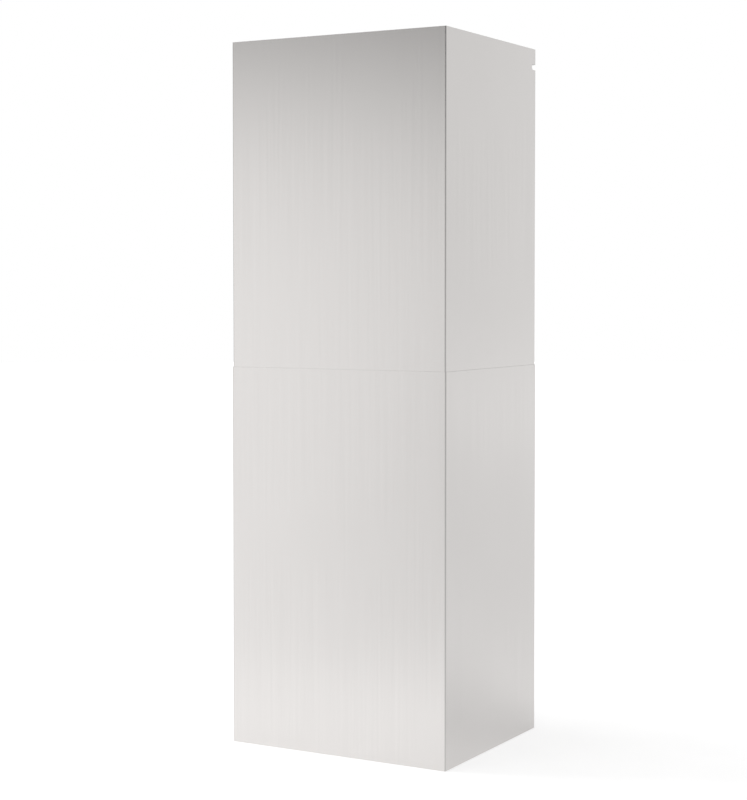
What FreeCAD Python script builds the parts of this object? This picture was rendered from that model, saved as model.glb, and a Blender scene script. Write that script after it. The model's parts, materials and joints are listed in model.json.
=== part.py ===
import FreeCAD, Part
import os

# Telescopic chimney of a wall-mounted cooker hood: two sleeves, each one sheet of stainless steel folded into a
# front, two sides and a narrow lip along each rear edge. The back is open towards the wall. The upper sleeve runs
# inside the lower one, held by the lower lips, and its rear edges are slotted for the two screws of a wall bracket.
# Millimetres. +Z is up, the front faces -Y and the wall is at +Y. The origin is under the middle of the lower
# sleeve, in the plane that it stands on.

# Driving dimensions of the chimney, over the outside of the lower sleeve
WIDTH = 300.0
DEPTH = 250.0
LOWER_LENGTH = 471.0
UPPER_LENGTH = 471.0
UPPER_SHOWN = 402.0

# Sheet, folds and the sliding fit
SHEET = 0.6
BEND_INSIDE_RADIUS = 0.9
LIP_WIDTH = 18.0
LIP_CORNER_RADIUS = 3.0
SLIDE_GAP = 0.25

# Bracket screw slots in the upper sleeve, open at the rear
SLOT_WIDTH = 7.0
SLOT_DEPTH = 11.0
SLOT_BELOW_TOP = 23.0

# How far a cutting shape runs past the sheet that it cuts
CUT_PAST = 2.0

# The upper sleeve fits inside the lower one with the sliding gap all round
UPPER_INSET = SHEET + SLIDE_GAP
UPPER_WIDTH = WIDTH - 2 * UPPER_INSET
UPPER_DEPTH = DEPTH - 2 * UPPER_INSET
UPPER_FOOT = LOWER_LENGTH + UPPER_SHOWN - UPPER_LENGTH

PARTS_FOLDER = "parts"


def face_corners(half_width, half_depth, lip_edge):
    """One face of the folded sheet seen from above, from the free edge of one lip round to that of the other."""
    return [
        FreeCAD.Vector(lip_edge, half_depth, 0),
        FreeCAD.Vector(half_width, half_depth, 0),
        FreeCAD.Vector(half_width, -half_depth, 0),
        FreeCAD.Vector(-half_width, -half_depth, 0),
        FreeCAD.Vector(-half_width, half_depth, 0),
        FreeCAD.Vector(-lip_edge, half_depth, 0),
    ]


def edges_along(solid, direction, distance):
    """The straight edges along a direction that lie at a distance from the middle plane, on both sides of it."""
    return [
        edge
        for edge in solid.Edges
        if abs(edge.tangentAt(edge.FirstParameter).dot(direction)) > 0.99
        and abs(abs(edge.CenterOfMass.x) - distance) < SHEET / 10
    ]


def folded_sleeve(width, depth, length):
    """One sheet folded into a front, two sides and two rear lips with rounded corners, standing on z = 0."""
    up = FreeCAD.Vector(0, 0, 1)
    through_lip = FreeCAD.Vector(0, 1, 0)
    lip_edge = width / 2 - LIP_WIDTH
    outside = face_corners(width / 2, depth / 2, lip_edge)
    inside = face_corners(width / 2 - SHEET, depth / 2 - SHEET, lip_edge)
    outline = outside + inside[::-1]
    section = Part.Face(Part.makePolygon(outline + outline[:1]))
    sleeve = section.extrude(up * length)
    sleeve = sleeve.makeFillet(BEND_INSIDE_RADIUS, edges_along(sleeve, up, width / 2 - SHEET))
    sleeve = sleeve.makeFillet(BEND_INSIDE_RADIUS + SHEET, edges_along(sleeve, up, width / 2))
    return sleeve.makeFillet(LIP_CORNER_RADIUS, edges_along(sleeve, through_lip, lip_edge))


def bracket_slot_cut(width, depth, height):
    """The cut for the slots in both rear edges: straight in from the back, with a round inner end."""
    radius = SLOT_WIDTH / 2
    start_x = -width / 2 - CUT_PAST
    mouth_y = depth / 2 + CUT_PAST
    round_y = depth / 2 - SLOT_DEPTH + radius
    mouth_top = FreeCAD.Vector(start_x, mouth_y, height + radius)
    round_top = FreeCAD.Vector(start_x, round_y, height + radius)
    inner_end = FreeCAD.Vector(start_x, round_y - radius, height)
    round_bottom = FreeCAD.Vector(start_x, round_y, height - radius)
    mouth_bottom = FreeCAD.Vector(start_x, mouth_y, height - radius)
    outline = Part.Wire([
        Part.LineSegment(mouth_top, round_top).toShape(),
        Part.Arc(round_top, inner_end, round_bottom).toShape(),
        Part.LineSegment(round_bottom, mouth_bottom).toShape(),
        Part.LineSegment(mouth_bottom, mouth_top).toShape(),
    ])
    return Part.Face(outline).extrude(FreeCAD.Vector(width + 2 * CUT_PAST, 0, 0))


def lower_sleeve():
    """The outer sleeve, which stands on the hood."""
    return folded_sleeve(WIDTH, DEPTH, LOWER_LENGTH)


def upper_sleeve():
    """The inner sleeve, drawn out of the lower one by the length that shows."""
    sleeve = folded_sleeve(UPPER_WIDTH, UPPER_DEPTH, UPPER_LENGTH)
    sleeve = sleeve.cut(bracket_slot_cut(UPPER_WIDTH, UPPER_DEPTH, UPPER_LENGTH - SLOT_BELOW_TOP))
    sleeve.translate(FreeCAD.Vector(0, 0, UPPER_FOOT))
    return sleeve


pieces = {
    "lower_sleeve": lower_sleeve(),
    "upper_sleeve": upper_sleeve(),
}
os.makedirs(PARTS_FOLDER, exist_ok=True)
for name, solid in pieces.items():
    solid.exportStep(os.path.join(PARTS_FOLDER, name + ".step"))
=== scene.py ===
import json
import math

import bmesh
import bpy
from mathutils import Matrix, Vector


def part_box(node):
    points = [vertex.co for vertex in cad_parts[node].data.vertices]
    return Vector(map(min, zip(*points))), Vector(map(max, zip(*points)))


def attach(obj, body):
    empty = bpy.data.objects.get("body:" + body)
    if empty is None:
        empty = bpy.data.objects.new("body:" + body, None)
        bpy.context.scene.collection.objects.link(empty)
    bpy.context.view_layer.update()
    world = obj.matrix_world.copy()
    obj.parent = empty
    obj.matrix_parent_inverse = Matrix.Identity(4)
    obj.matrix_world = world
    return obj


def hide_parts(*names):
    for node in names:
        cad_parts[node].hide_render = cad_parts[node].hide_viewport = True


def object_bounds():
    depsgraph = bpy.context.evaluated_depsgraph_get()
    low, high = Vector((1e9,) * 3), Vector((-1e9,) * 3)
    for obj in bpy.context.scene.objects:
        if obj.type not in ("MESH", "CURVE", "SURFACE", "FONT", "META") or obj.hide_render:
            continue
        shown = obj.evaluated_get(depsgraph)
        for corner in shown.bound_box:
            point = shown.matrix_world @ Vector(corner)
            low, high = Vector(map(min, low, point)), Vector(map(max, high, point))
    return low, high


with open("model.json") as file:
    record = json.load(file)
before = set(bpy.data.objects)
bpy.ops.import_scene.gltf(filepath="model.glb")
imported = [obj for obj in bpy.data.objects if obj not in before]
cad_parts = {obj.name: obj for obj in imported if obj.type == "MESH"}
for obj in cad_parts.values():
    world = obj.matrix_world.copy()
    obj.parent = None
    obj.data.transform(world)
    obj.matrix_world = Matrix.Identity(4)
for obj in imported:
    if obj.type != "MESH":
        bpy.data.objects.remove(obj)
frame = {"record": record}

cad_low, cad_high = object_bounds()

# Lower sleeve
# The outer half of the chimney, one sheet of satin stainless steel. It is brushed while flat, then folded
# along four uprights into a front, two sides and two rear lips. It stands on the hood by its plain cut edge.

SHEET_THICKNESS = 0.0006
BEND_COUNT = 4
BEND_RADIUS = 0.0015
BEND_LENGTH = BEND_RADIUS * math.pi / 2
LIP_WIDTH = 0.018
LIP_CORNER_RADIUS = 0.003
ARC_STEPS = 10
FOLD_TOLERANCE = SHEET_THICKNESS / 1000
CUT_TOLERANCE = 1e-7
EDGE_BREAK = 0.00015
EDGE_BREAK_STEPS = 3
SHARP_EDGE = math.radians(50)
LARGE_PANELS_FIRST = 100
INWARD = -1
OUTSIDE_FINISH, INSIDE_FINISH, EDGE_FINISH = range(3)


def arc_points(centre, radius, start, turn):
    """Points of an arc on the flat sheet, from a start angle through a turn, both in degrees."""
    angles = [math.radians(start + turn * step / ARC_STEPS) for step in range(ARC_STEPS + 1)]
    return [(centre[0] + radius * math.cos(a), centre[1] + radius * math.sin(a)) for a in angles]


def blank_outline(spread, foot, head, slot):
    """The flat sheet before it is folded, as distance along it and height, going round anticlockwise.
    A slot, given as its reach, height and radius, is cut in from both ends of the sheet."""
    corner = LIP_CORNER_RADIUS
    outline = arc_points((spread - corner, foot + corner), corner, -90, 90)
    if slot:
        reach, height, radius = slot
        outline += [(spread, height - radius)]
        outline += arc_points((spread - reach, height), radius, -90, -180)
        outline += [(spread, height + radius)]
    outline += arc_points((spread - corner, head - corner), corner, 0, 90)
    outline += arc_points((corner, head - corner), corner, 90, 90)
    if slot:
        outline += [(0, height + radius)]
        outline += arc_points((reach, height), radius, 90, -180)
        outline += [(0, height - radius)]
    outline += arc_points((corner, foot + corner), corner, 180, 90)
    return outline


def flat_lengths(low, high):
    """The straight stretches of the sheet between its bends: lip, side, front, side and lip."""
    lip = LIP_WIDTH - BEND_RADIUS
    side = high.y - low.y - 2 * BEND_RADIUS
    front = high.x - low.x - 2 * BEND_RADIUS
    return lip, side, front, side, lip


def folded_place(distance, low, high):
    """Where a point of the flat sheet comes to lie, seen from above, and how deep in a bend it is,
    from 0 on the flat stretches to 1 in the middle of the bend."""
    place = Vector((high.x - LIP_WIDTH, high.y))
    ahead = Vector((1, 0))
    for flat in flat_lengths(low, high):
        inward = Vector((ahead.y, -ahead.x))
        if distance <= flat + FOLD_TOLERANCE:
            break
        place = place + ahead * flat
        distance = distance - flat
        if distance < BEND_LENGTH:
            turned = distance / BEND_RADIUS
            round_by = ahead * math.sin(turned) + inward * (1 - math.cos(turned))
            return place + round_by * BEND_RADIUS, math.sin(2 * turned)
        place = place + (ahead + inward) * BEND_RADIUS
        distance = distance - BEND_LENGTH
        ahead = inward
    return place + ahead * distance, 0.0


def folded_sleeve(name, node, finishes, slot=None):
    """One sleeve: a flat sheet, folded, given its thickness, and with the burr taken off its cut edges."""
    low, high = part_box(node)
    flats = flat_lengths(low, high)
    spread = sum(flats) + BEND_COUNT * BEND_LENGTH
    sheet = bmesh.new()
    corners = [sheet.verts.new((s, z, 0)) for s, z in blank_outline(spread, low.z, high.z, slot)]
    sheet.faces.new(corners[::-1])
    for bend in range(BEND_COUNT):
        start = sum(flats[: bend + 1]) + bend * BEND_LENGTH
        for step in range(ARC_STEPS + 1):
            everything = sheet.verts[:] + sheet.edges[:] + sheet.faces[:]
            line = (start + BEND_LENGTH * step / ARC_STEPS, 0, 0)
            bmesh.ops.bisect_plane(
                sheet, geom=everything, plane_co=line, plane_no=(1, 0, 0), dist=CUT_TOLERANCE
            )
    mesh = bpy.data.meshes.new(name)
    sheet.to_mesh(mesh)
    sheet.free()
    mesh.attributes.new("blank", "FLOAT_VECTOR", "POINT")
    mesh.attributes.new("bend", "FLOAT", "POINT")
    for vertex in mesh.vertices:
        distance, height = vertex.co.x, vertex.co.y
        place, bent = folded_place(distance, low, high)
        mesh.attributes["blank"].data[vertex.index].vector = (distance, height, 0)
        mesh.attributes["bend"].data[vertex.index].value = bent
        vertex.co = (place.x, place.y, height)
    for finish in finishes:
        mesh.materials.append(finish)
    mesh.shade_smooth()
    sleeve = bpy.data.objects.new(name, mesh)
    bpy.context.scene.collection.objects.link(sleeve)
    thicken = sleeve.modifiers.new("sheet thickness", "SOLIDIFY")
    thicken.thickness = SHEET_THICKNESS
    thicken.offset = INWARD
    thicken.use_even_offset = True
    thicken.material_offset = INSIDE_FINISH
    thicken.material_offset_rim = EDGE_FINISH
    deburr = sleeve.modifiers.new("deburred edges", "BEVEL")
    deburr.width = EDGE_BREAK
    deburr.segments = EDGE_BREAK_STEPS
    deburr.limit_method = "ANGLE"
    deburr.angle_limit = SHARP_EDGE
    deburr.material = OUTSIDE_FINISH
    even = sleeve.modifiers.new("flat panels", "WEIGHTED_NORMAL")
    even.weight = LARGE_PANELS_FIRST
    return sleeve


GRAIN_LOW, GRAIN_HIGH = 0.3, 0.7
GRAIN_RELIEF = 0.2
GRAIN_DEPTH = 0.00002


def sheet_grain_group():
    """Lines, bands and clouds of a rolled and brushed sheet, which run along its height."""
    group = bpy.data.node_groups.new("sheet_grain", "ShaderNodeTree")
    for socket, kind in (
        ("Place", "NodeSocketVector"),
        ("Line Width", "NodeSocketFloat"),
        ("Line Length", "NodeSocketFloat"),
        ("Dark", "NodeSocketColor"),
        ("Light", "NodeSocketColor"),
        ("Smooth", "NodeSocketFloat"),
        ("Rough", "NodeSocketFloat"),
    ):
        group.interface.new_socket(name=socket, in_out="INPUT", socket_type=kind)
    for socket, kind in (
        ("Color", "NodeSocketColor"),
        ("Roughness", "NodeSocketFloat"),
        ("Height", "NodeSocketFloat"),
    ):
        group.interface.new_socket(name=socket, in_out="OUTPUT", socket_type=kind)
    nodes, links = group.nodes, group.links
    given = nodes.new("NodeGroupInput")
    made = nodes.new("NodeGroupOutput")

    def streaks(times_width, times_length, detail):
        size = nodes.new("ShaderNodeCombineXYZ")
        for axis, socket, times in (
            ("X", "Line Width", times_width),
            ("Y", "Line Length", times_length),
        ):
            scaled = nodes.new("ShaderNodeMath")
            scaled.operation = "MULTIPLY"
            scaled.inputs[1].default_value = times
            links.new(given.outputs[socket], scaled.inputs[0])
            links.new(scaled.outputs[0], size.inputs[axis])
        size.inputs["Z"].default_value = 1
        stretched = nodes.new("ShaderNodeVectorMath")
        stretched.operation = "DIVIDE"
        links.new(given.outputs["Place"], stretched.inputs[0])
        links.new(size.outputs[0], stretched.inputs[1])
        noise = nodes.new("ShaderNodeTexNoise")
        noise.inputs["Scale"].default_value = 1
        noise.inputs["Detail"].default_value = detail
        links.new(stretched.outputs[0], noise.inputs["Vector"])
        return noise.outputs["Fac"]

    def blended(first, second, share):
        mix = nodes.new("ShaderNodeMix")
        mix.data_type = "FLOAT"
        mix.inputs["Factor"].default_value = share
        links.new(first, mix.inputs["A"])
        links.new(second, mix.inputs["B"])
        return mix.outputs["Result"]

    lines = streaks(times_width=1, times_length=1, detail=2)
    bands = streaks(times_width=9, times_length=6, detail=1)
    clouds = streaks(times_width=260, times_length=2.5, detail=1)
    tone = blended(blended(lines, bands, share=0.5), clouds, share=0.25)
    spread = nodes.new("ShaderNodeMapRange")
    spread.inputs["From Min"].default_value = GRAIN_LOW
    spread.inputs["From Max"].default_value = GRAIN_HIGH
    links.new(tone, spread.inputs["Value"])
    shade = nodes.new("ShaderNodeMix")
    shade.data_type = "RGBA"
    links.new(spread.outputs["Result"], shade.inputs["Factor"])
    links.new(given.outputs["Dark"], shade.inputs["A"])
    links.new(given.outputs["Light"], shade.inputs["B"])
    links.new(shade.outputs["Result"], made.inputs["Color"])
    gloss = nodes.new("ShaderNodeMix")
    gloss.data_type = "FLOAT"
    links.new(blended(lines, clouds, share=0.5), gloss.inputs["Factor"])
    links.new(given.outputs["Smooth"], gloss.inputs["A"])
    links.new(given.outputs["Rough"], gloss.inputs["B"])
    links.new(gloss.outputs["Result"], made.inputs["Roughness"])
    links.new(lines, made.inputs["Height"])
    return group


sheet_grain = sheet_grain_group()


def steel_finish(name, line_width, line_length, dark, light, smooth, rough, stretch, bend_painted_shade):
    """A stainless steel surface with its own grain, and a darker line painted into its colour where the
    sheet is bent: partly the burnish of the bend, partly painted shade for the dark reflection that the bend
    shows.
    """
    finish = bpy.data.materials.new(name)
    finish.use_nodes = True
    nodes, links = finish.node_tree.nodes, finish.node_tree.links
    steel = nodes["Principled BSDF"]
    steel.inputs["Metallic"].default_value = 1
    steel.inputs["Anisotropic"].default_value = stretch
    grain = nodes.new("ShaderNodeGroup")
    grain.node_tree = sheet_grain
    grain.inputs["Line Width"].default_value = line_width
    grain.inputs["Line Length"].default_value = line_length
    grain.inputs["Dark"].default_value = (*dark, 1)
    grain.inputs["Light"].default_value = (*light, 1)
    grain.inputs["Smooth"].default_value = smooth
    grain.inputs["Rough"].default_value = rough
    blank = nodes.new("ShaderNodeAttribute")
    blank.attribute_name = "blank"
    links.new(blank.outputs["Vector"], grain.inputs["Place"])
    bend = nodes.new("ShaderNodeAttribute")
    bend.attribute_name = "bend"
    # Painted shade: the colour is darkened across each bend, partly as the burnish of the bend and partly in
    # place of the dark reflection there.
    burnish_and_painted_shade = nodes.new("ShaderNodeMix")
    burnish_and_painted_shade.data_type = "RGBA"
    burnish_and_painted_shade.blend_type = "MULTIPLY"
    burnish_and_painted_shade.inputs["B"].default_value = (bend_painted_shade, bend_painted_shade, bend_painted_shade, 1)
    links.new(bend.outputs["Fac"], burnish_and_painted_shade.inputs["Factor"])
    links.new(grain.outputs["Color"], burnish_and_painted_shade.inputs["A"])
    links.new(burnish_and_painted_shade.outputs["Result"], steel.inputs["Base Color"])
    links.new(grain.outputs["Roughness"], steel.inputs["Roughness"])
    relief = nodes.new("ShaderNodeBump")
    relief.inputs["Strength"].default_value = GRAIN_RELIEF
    relief.inputs["Distance"].default_value = GRAIN_DEPTH
    links.new(grain.outputs["Height"], relief.inputs["Height"])
    links.new(relief.outputs["Normal"], steel.inputs["Normal"])
    across = nodes.new("ShaderNodeTangent")
    across.direction_type = "RADIAL"
    across.axis = "Z"
    links.new(across.outputs["Tangent"], steel.inputs["Tangent"])
    return finish


satin_outside = steel_finish(
    "satin_outside",
    line_width=0.0004,
    line_length=0.045,
    dark=(0.742, 0.721, 0.707),
    light=(0.782, 0.761, 0.747),
    smooth=0.2,
    rough=0.25,
    stretch=0.3,
    bend_painted_shade=0.7,
)
mill_inside = steel_finish(
    "mill_inside",
    line_width=0.0015,
    line_length=0.2,
    dark=(0.58, 0.575, 0.565),
    light=(0.68, 0.675, 0.665),
    smooth=0.36,
    rough=0.5,
    stretch=0.1,
    bend_painted_shade=0.9,
)
cut_edge = steel_finish(
    "cut_edge",
    line_width=0.0002,
    line_length=0.002,
    dark=(0.46, 0.455, 0.45),
    light=(0.66, 0.655, 0.65),
    smooth=0.3,
    rough=0.5,
    stretch=0.0,
    bend_painted_shade=1.0,
)
sleeve_finishes = (satin_outside, mill_inside, cut_edge)

lower_sleeve = folded_sleeve("lower_sleeve_sheet", "lower_sleeve", sleeve_finishes)
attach(lower_sleeve, "lower")
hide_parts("lower_sleeve")

# Upper sleeve
# The inner half of the chimney, folded the same way from a sheet one fit smaller, so that it slides in the
# lower one. A round-ended slot runs in from each rear edge near the top, for the screws of a wall bracket.

MM_PER_METRE = 1000
mounts = {mount["name"]: mount for mount in frame["record"]["mounts"]}
slot_mount = mounts["right_bracket_slot"]
slot_radius = slot_mount["dims"]["r_mm"] / MM_PER_METRE
slot_y, slot_z = slot_mount["pos_m"][1:]
upper_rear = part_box("upper_sleeve")[1].y
slot_reach = LIP_WIDTH - BEND_RADIUS + BEND_LENGTH + upper_rear - BEND_RADIUS - slot_y
upper_sleeve = folded_sleeve(
    "upper_sleeve_sheet",
    "upper_sleeve",
    sleeve_finishes,
    (slot_reach, slot_z, slot_radius),
)
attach(upper_sleeve, "upper")
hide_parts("upper_sleeve")

# Floor and studio
# A pale paper floor that runs out of sight, with soft light from the left and from above. The room that the
# steel mirrors is bright low down and darker above eye level, and brightest at the back and the front left.

FLOOR_RADIUS = 12.0
FLOOR_SIDES = 64
floor_mesh = bpy.data.meshes.new("floor")
paper_disc = bmesh.new()
bmesh.ops.create_circle(paper_disc, cap_ends=True, segments=FLOOR_SIDES, radius=FLOOR_RADIUS)
paper_disc.to_mesh(floor_mesh)
paper_disc.free()
floor = bpy.data.objects.new("floor", floor_mesh)
floor.location.z = cad_low.z
bpy.context.scene.collection.objects.link(floor)


def soft_run(tree, value, stops):
    """Grey levels that run softly over a value, with stops given as (value, level)."""
    start, end = stops[0][0], stops[-1][0]
    share = tree.nodes.new("ShaderNodeMapRange")
    share.inputs["From Min"].default_value = start
    share.inputs["From Max"].default_value = end
    tree.links.new(value, share.inputs["Value"])
    run = tree.nodes.new("ShaderNodeFloatCurve")
    points = run.mapping.curves[0].points
    spare = (0.5, 0.5)
    while len(points) < len(stops):
        points.new(*spare)
    for point, (at, level) in zip(points, stops):
        point.location = ((at - start) / (end - start), level)
    run.mapping.use_clip = False
    run.mapping.update()
    tree.links.new(share.outputs["Result"], run.inputs["Value"])
    return run.outputs["Value"]


def combined(tree, operation, first, second):
    """Two values put together by one step of arithmetic."""
    step = tree.nodes.new("ShaderNodeMath")
    step.operation = operation
    for value, socket in ((first, step.inputs[0]), (second, step.inputs[1])):
        if isinstance(value, bpy.types.NodeSocket):
            tree.links.new(value, socket)
        else:
            socket.default_value = value
    return step.outputs[0]


# The room's level by the bearing off the front in degrees, with the right as plus
ROOM_ROUND = [
    (-180, 0.94), (-150, 0.8), (-120, 0.66), (-95, 0.62), (-75, 0.6), (-60, 0.63), (-48, 0.82),
    (-38, 1.13), (-20, 0.66), (10, 0.64), (45, 0.66), (70, 0.68), (95, 0.64), (118, 0.57),
    (135, 0.71), (143, 0.87), (150, 0.75), (160, 1.02), (180, 0.94),
]


def room_round_group():
    """How bright the room is in each direction round the object."""
    group = bpy.data.node_groups.new("room_round", "ShaderNodeTree")
    group.interface.new_socket(name="Direction", in_out="INPUT", socket_type="NodeSocketVector")
    group.interface.new_socket(name="Level", in_out="OUTPUT", socket_type="NodeSocketFloat")
    given = group.nodes.new("NodeGroupInput")
    made = group.nodes.new("NodeGroupOutput")
    axes = group.nodes.new("ShaderNodeSeparateXYZ")
    group.links.new(given.outputs["Direction"], axes.inputs[0])
    forward = combined(group, "MULTIPLY", axes.outputs["Y"], -1.0)
    turned = combined(group, "ARCTAN2", axes.outputs["X"], forward)
    bearing = combined(group, "MULTIPLY", turned, math.degrees(1))
    group.links.new(soft_run(group, bearing, ROOM_ROUND), made.inputs["Level"])
    return group


room_round = room_round_group()


def room_level(tree, direction):
    """The brightness of the room in a direction, placed in a floor or sky."""
    level = tree.nodes.new("ShaderNodeGroup")
    level.node_tree = room_round
    tree.links.new(direction, level.inputs["Direction"])
    return level.outputs["Level"]


FIBRE_SCALE = 400
FIBRE_TONES = [(0.3, 0.59), (0.7, 0.61)]
LIFT_CENTRE = (-0.15, -0.25, 0.0)

# The floor's own lift, a glow, by the distance from the lift centre in metres, as the camera sees it and as
# the steel mirrors it, and the share of the room's level in what is mirrored. What the steel mirrors is
# painted light and
# shade: a pool of light near the lift centre, in front of the chimney, and painted shade towards the sides,
# where the room's level is lower.
SEEN_LIFT = [(0.0, 0.64), (0.8, 0.68), (3.0, 0.88), (6.0, 0.95)]
MIRRORED_PAINTED_LIGHT = [
    (0.0, 0.63), (0.3, 0.585), (0.5, 0.54), (0.8, 0.505), (1.3, 0.487), (2.6, 0.545), (6.0, 0.74),
]
ROOM_SHARE = [(0.2, 0.0), (0.5, 0.3), (1.2, 0.6), (3.0, 1.0)]

paper = bpy.data.materials.new("floor_paper")
paper.use_nodes = True
tree = paper.node_tree
tree.nodes.remove(tree.nodes["Principled BSDF"])
matt = tree.nodes.new("ShaderNodeBsdfDiffuse")
fibre = tree.nodes.new("ShaderNodeTexNoise")
fibre.inputs["Scale"].default_value = FIBRE_SCALE
fibre_tone = soft_run(tree, fibre.outputs["Fac"], FIBRE_TONES)
tree.links.new(fibre_tone, matt.inputs["Color"])
spot = tree.nodes.new("ShaderNodeTexCoord")
reach = tree.nodes.new("ShaderNodeVectorMath")
reach.operation = "DISTANCE"
reach.inputs[1].default_value = LIFT_CENTRE
tree.links.new(spot.outputs["Object"], reach.inputs[0])
seen_lift = soft_run(tree, reach.outputs["Value"], SEEN_LIFT)
# Painted light and shade for the steel to mirror: the floor glows brightest near the lift centre and is
# brightened or darkened by bearing, in place of lamp light and the chimney's shadow on the floor.
mirrored_painted_light = soft_run(tree, reach.outputs["Value"], MIRRORED_PAINTED_LIGHT)
room_share = soft_run(tree, reach.outputs["Value"], ROOM_SHARE)
path = tree.nodes.new("ShaderNodeLightPath")
mirrored = combined(tree, "MAXIMUM", path.outputs["Is Glossy Ray"], path.outputs["Is Transmission Ray"])
room_change = combined(tree, "SUBTRACT", room_level(tree, spot.outputs["Object"]), 1.0)
painted_room_tone = combined(tree, "ADD", combined(tree, "MULTIPLY", room_change, room_share), 1.0)
mirrored_painted_light = combined(tree, "MULTIPLY", mirrored_painted_light, painted_room_tone)
seen_lift = combined(tree, "MULTIPLY", seen_lift, path.outputs["Is Camera Ray"])
lift = tree.nodes.new("ShaderNodeEmission")
both_lifts = combined(tree, "ADD", seen_lift, combined(tree, "MULTIPLY", mirrored, mirrored_painted_light))
tree.links.new(both_lifts, lift.inputs["Color"])
paper_light = tree.nodes.new("ShaderNodeAddShader")
tree.links.new(matt.outputs[0], paper_light.inputs[0])
tree.links.new(lift.outputs[0], paper_light.inputs[1])
tree.links.new(paper_light.outputs[0], tree.nodes["Material Output"].inputs["Surface"])
floor_mesh.materials.append(paper)

# The room's level by the slope of the line of sight, from -1 straight down to 1 straight up, ahead of the
# object and behind it, and the change from one to the other
FRONT_HEIGHT = [
    (-1.0, 1.0), (0.0, 1.02), (0.05, 1.03), (0.13, 0.62), (0.24, 0.14), (0.36, 0.45), (0.5, 0.9),
    (0.8, 1.0), (1.0, 0.95),
]
BACK_HEIGHT = [(-1.0, 1.0), (0.0, 0.96), (0.2, 0.91), (0.4, 0.4), (0.7, 0.3), (1.0, 0.9)]
BACKWARD = [(-0.3, 0.0), (0.3, 1.0)]

studio = bpy.data.worlds.new("studio")
bpy.context.scene.world = studio
studio.use_nodes = True
tree = studio.node_tree
outward = tree.nodes.new("ShaderNodeTexCoord").outputs["Generated"]
axes = tree.nodes.new("ShaderNodeSeparateXYZ")
tree.links.new(outward, axes.inputs[0])
front_height = soft_run(tree, axes.outputs["Z"], FRONT_HEIGHT)
back_height = soft_run(tree, axes.outputs["Z"], BACK_HEIGHT)
backward = soft_run(tree, axes.outputs["Y"], BACKWARD)
height_mix = tree.nodes.new("ShaderNodeMix")
height_mix.data_type = "FLOAT"
tree.links.new(backward, height_mix.inputs["Factor"])
tree.links.new(front_height, height_mix.inputs["A"])
tree.links.new(back_height, height_mix.inputs["B"])
walls = combined(tree, "MULTIPLY", height_mix.outputs["Result"], room_level(tree, outward))
path = tree.nodes.new("ShaderNodeLightPath")
seen = combined(tree, "MAXIMUM", walls, path.outputs["Is Camera Ray"])
tree.links.new(seen, tree.nodes["Background"].inputs["Color"])

SOFTBOX_AIM = Vector((0, 0, 0.3))
for name, place, size, power in (
    ("left_softbox", (-3.3, -0.7, 2.7), 1.8, 65),
    ("overhead_softbox", (-0.2, 0.3, 3.4), 3.0, 14),
):
    lamp = bpy.data.lights.new(name, "AREA")
    lamp.size = size
    lamp.energy = power
    softbox = bpy.data.objects.new(name, lamp)
    softbox.location = place
    aim = SOFTBOX_AIM - Vector(place)
    softbox.rotation_euler = aim.to_track_quat("-Z", "Y").to_euler()
    bpy.context.scene.collection.objects.link(softbox)

# Camera
# At the height of the upper sleeve and to the right of the front. It looks down by a small angle, and its
# picture is shifted a little, to frame the whole chimney.

IMAGE_WIDTH, IMAGE_HEIGHT = 747, 800
FOCAL_PIXELS = 1839.2
AXIS_X, AXIS_Y = 386.3, 360.6
CAMERA_BEARING = math.radians(29.335)
CAMERA_TILT = math.radians(2.25)
CAMERA_DISTANCE = 2.3265
EYE_HEIGHT = 0.5686
SENSOR_WIDTH = 36
view = bpy.data.cameras.new("camera")
view.sensor_width = SENSOR_WIDTH
view.lens = FOCAL_PIXELS * view.sensor_width / IMAGE_HEIGHT
view.shift_x = -(AXIS_X - IMAGE_WIDTH / 2) / IMAGE_HEIGHT
view.shift_y = -(IMAGE_HEIGHT / 2 - AXIS_Y) / IMAGE_HEIGHT
camera = bpy.data.objects.new("camera", view)
camera.location = (
    CAMERA_DISTANCE * math.sin(CAMERA_BEARING),
    -CAMERA_DISTANCE * math.cos(CAMERA_BEARING),
    EYE_HEIGHT,
)
camera.rotation_euler = (math.pi / 2 - CAMERA_TILT, 0, CAMERA_BEARING)
bpy.context.scene.collection.objects.link(camera)
bpy.context.scene.camera = camera
bpy.context.scene.view_settings.view_transform = "Standard"
